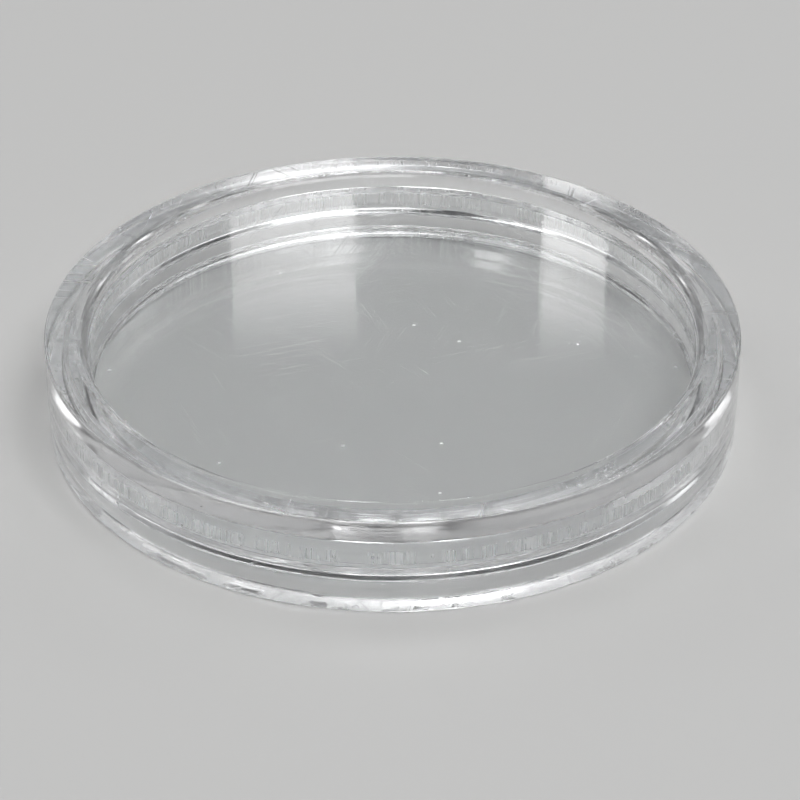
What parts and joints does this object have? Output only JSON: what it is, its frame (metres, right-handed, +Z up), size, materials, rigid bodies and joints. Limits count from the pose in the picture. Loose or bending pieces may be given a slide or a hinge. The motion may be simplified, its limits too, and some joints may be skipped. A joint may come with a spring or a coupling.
{
  "type": "coin capsule",
  "caption": "Clear round two-piece capsule that holds and shows one coin; the lid's skirt pushes over the base's upright wall and lifts off.",
  "frame": {"origin": "centre of the plane that the base's foot rim rests on", "axes": "+Z up, along the capsule's round axis, from the base to the lid; X and Y lie in the window plane"},
  "size_m": [0.046, 0.046, 0.0068],
  "materials": {
    "clear_plastic": "clear, polished, with fine handling scratches"
  },
  "bodies": {
    "base": {"base_shell": "clear_plastic"},
    "lid": {"lid_shell": "clear_plastic"}
  },
  "joints": [
    {"name": "lid_lift", "type": "slide", "parent": "base", "child": "lid", "axis": [0, 0, 1], "range_m": [0, 0.025]}
  ]
}
